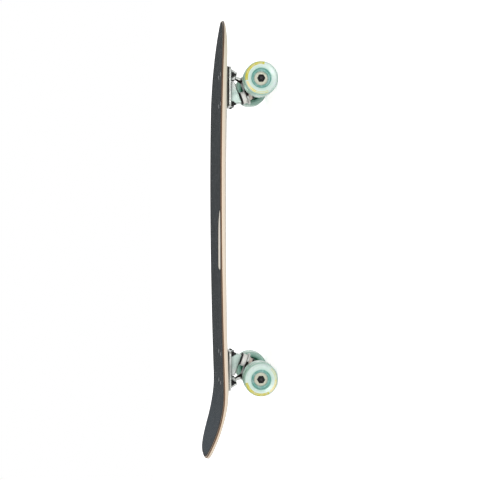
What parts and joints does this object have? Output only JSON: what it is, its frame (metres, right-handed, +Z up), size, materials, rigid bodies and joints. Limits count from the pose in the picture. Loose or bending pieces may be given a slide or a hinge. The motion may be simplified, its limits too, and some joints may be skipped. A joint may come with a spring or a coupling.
{
  "type": "cruiser skateboard",
  "caption": "Cruiser skateboard: a dished maple deck with a kicked tail and grip tape, on sprung leaning trucks with wide, soft urethane wheels.",
  "frame": {"origin": "on the ground under the middle of the board, standing on its four wheels", "axes": "+X towards the nose, +Y towards the rider's left when facing the nose, +Z up from the ground to the deck"},
  "size_m": [0.8114, 0.232, 0.1289],
  "materials": {
    "maple": "clear satin lacquer over pressed veneer",
    "grip": "coarse charcoal grit on sheet",
    "black_rubber": "matt",
    "cast_aluminium": "raw cast, tumbled",
    "steel": "bright zinc",
    "black_steel": "black oxide",
    "cup_urethane": "satin",
    "bushing_urethane": "satin, cream white",
    "mint_urethane": "glossy cast urethane",
    "bearing_shield": "shield and core rim"
  },
  "bodies": {
    "board": {"deck": "maple", "grip_tape": "grip", "front_riser_pad": "black_rubber", "front_baseplate": "cast_aluminium", "front_pivot_cup": "cup_urethane", "front_kingpin": "black_steel", "front_kingpin_nut": "black_steel", "front_board_washer": "black_steel", "front_board_bushing": "bushing_urethane", "front_road_bushing": "bushing_urethane", "front_road_washer": "black_steel", "front_outer_left_bolt": "steel", "front_outer_left_lock_nut": "black_steel", "front_outer_right_bolt": "steel", "front_outer_right_lock_nut": "black_steel", "front_inner_left_bolt": "steel", "front_inner_left_lock_nut": "black_steel", "front_inner_right_bolt": "steel", "front_inner_right_lock_nut": "black_steel", "rear_riser_pad": "black_rubber", "rear_baseplate": "cast_aluminium", "rear_pivot_cup": "cup_urethane", "rear_kingpin": "black_steel", "rear_kingpin_nut": "black_steel", "rear_board_washer": "black_steel", "rear_board_bushing": "bushing_urethane", "rear_road_bushing": "bushing_urethane", "rear_road_washer": "black_steel", "rear_outer_left_bolt": "steel", "rear_outer_left_lock_nut": "black_steel", "rear_outer_right_bolt": "steel", "rear_outer_right_lock_nut": "black_steel", "rear_inner_left_bolt": "steel", "rear_inner_left_lock_nut": "black_steel", "rear_inner_right_bolt": "steel", "rear_inner_right_lock_nut": "black_steel"},
    "front_hanger": {"front_hanger": "cast_aluminium", "front_axle": "steel", "front_left_speed_ring": "steel", "front_left_axle_nut": "black_steel", "front_right_speed_ring": "steel", "front_right_axle_nut": "black_steel"},
    "front_left_wheel": {"front_left_wheel": "mint_urethane", "front_left_outer_bearing": "bearing_shield", "front_left_inner_bearing": "bearing_shield"},
    "front_right_wheel": {"front_right_wheel": "mint_urethane", "front_right_outer_bearing": "bearing_shield", "front_right_inner_bearing": "bearing_shield"},
    "rear_hanger": {"rear_hanger": "cast_aluminium", "rear_axle": "steel", "rear_left_speed_ring": "steel", "rear_left_axle_nut": "black_steel", "rear_right_speed_ring": "steel", "rear_right_axle_nut": "black_steel"},
    "rear_left_wheel": {"rear_left_wheel": "mint_urethane", "rear_left_outer_bearing": "bearing_shield", "rear_left_inner_bearing": "bearing_shield"},
    "rear_right_wheel": {"rear_right_wheel": "mint_urethane", "rear_right_outer_bearing": "bearing_shield", "rear_right_inner_bearing": "bearing_shield"}
  },
  "joints": [
    {"name": "front_truck_lean", "type": "hinge", "parent": "board", "child": "front_hanger", "pos_m": [0.26712, 0, 0.04606], "axis": [0.8232, 0, 0.5678], "range_deg": [-12, 12], "stiffness_Nm_per_rad": 60, "deforming": ["front_board_bushing", "front_road_bushing"]},
    {"name": "front_left_wheel_spin", "type": "hinge", "parent": "front_hanger", "child": "front_left_wheel", "pos_m": [0.2883, 0.0763, 0.03083], "axis": [0, 1, 0], "continuous": true},
    {"name": "front_right_wheel_spin", "type": "hinge", "parent": "front_hanger", "child": "front_right_wheel", "pos_m": [0.2883, -0.0763, 0.03083], "axis": [0, 1, 0], "continuous": true},
    {"name": "rear_truck_lean", "type": "hinge", "parent": "board", "child": "rear_hanger", "pos_m": [-0.22862, 0, 0.04606], "axis": [-0.8232, 0, 0.5678], "range_deg": [-12, 12], "stiffness_Nm_per_rad": 60, "deforming": ["rear_board_bushing", "rear_road_bushing"]},
    {"name": "rear_left_wheel_spin", "type": "hinge", "parent": "rear_hanger", "child": "rear_left_wheel", "pos_m": [-0.2498, 0.0763, 0.03083], "axis": [0, 1, 0], "continuous": true},
    {"name": "rear_right_wheel_spin", "type": "hinge", "parent": "rear_hanger", "child": "rear_right_wheel", "pos_m": [-0.2498, -0.0763, 0.03083], "axis": [0, 1, 0], "continuous": true}
  ]
}
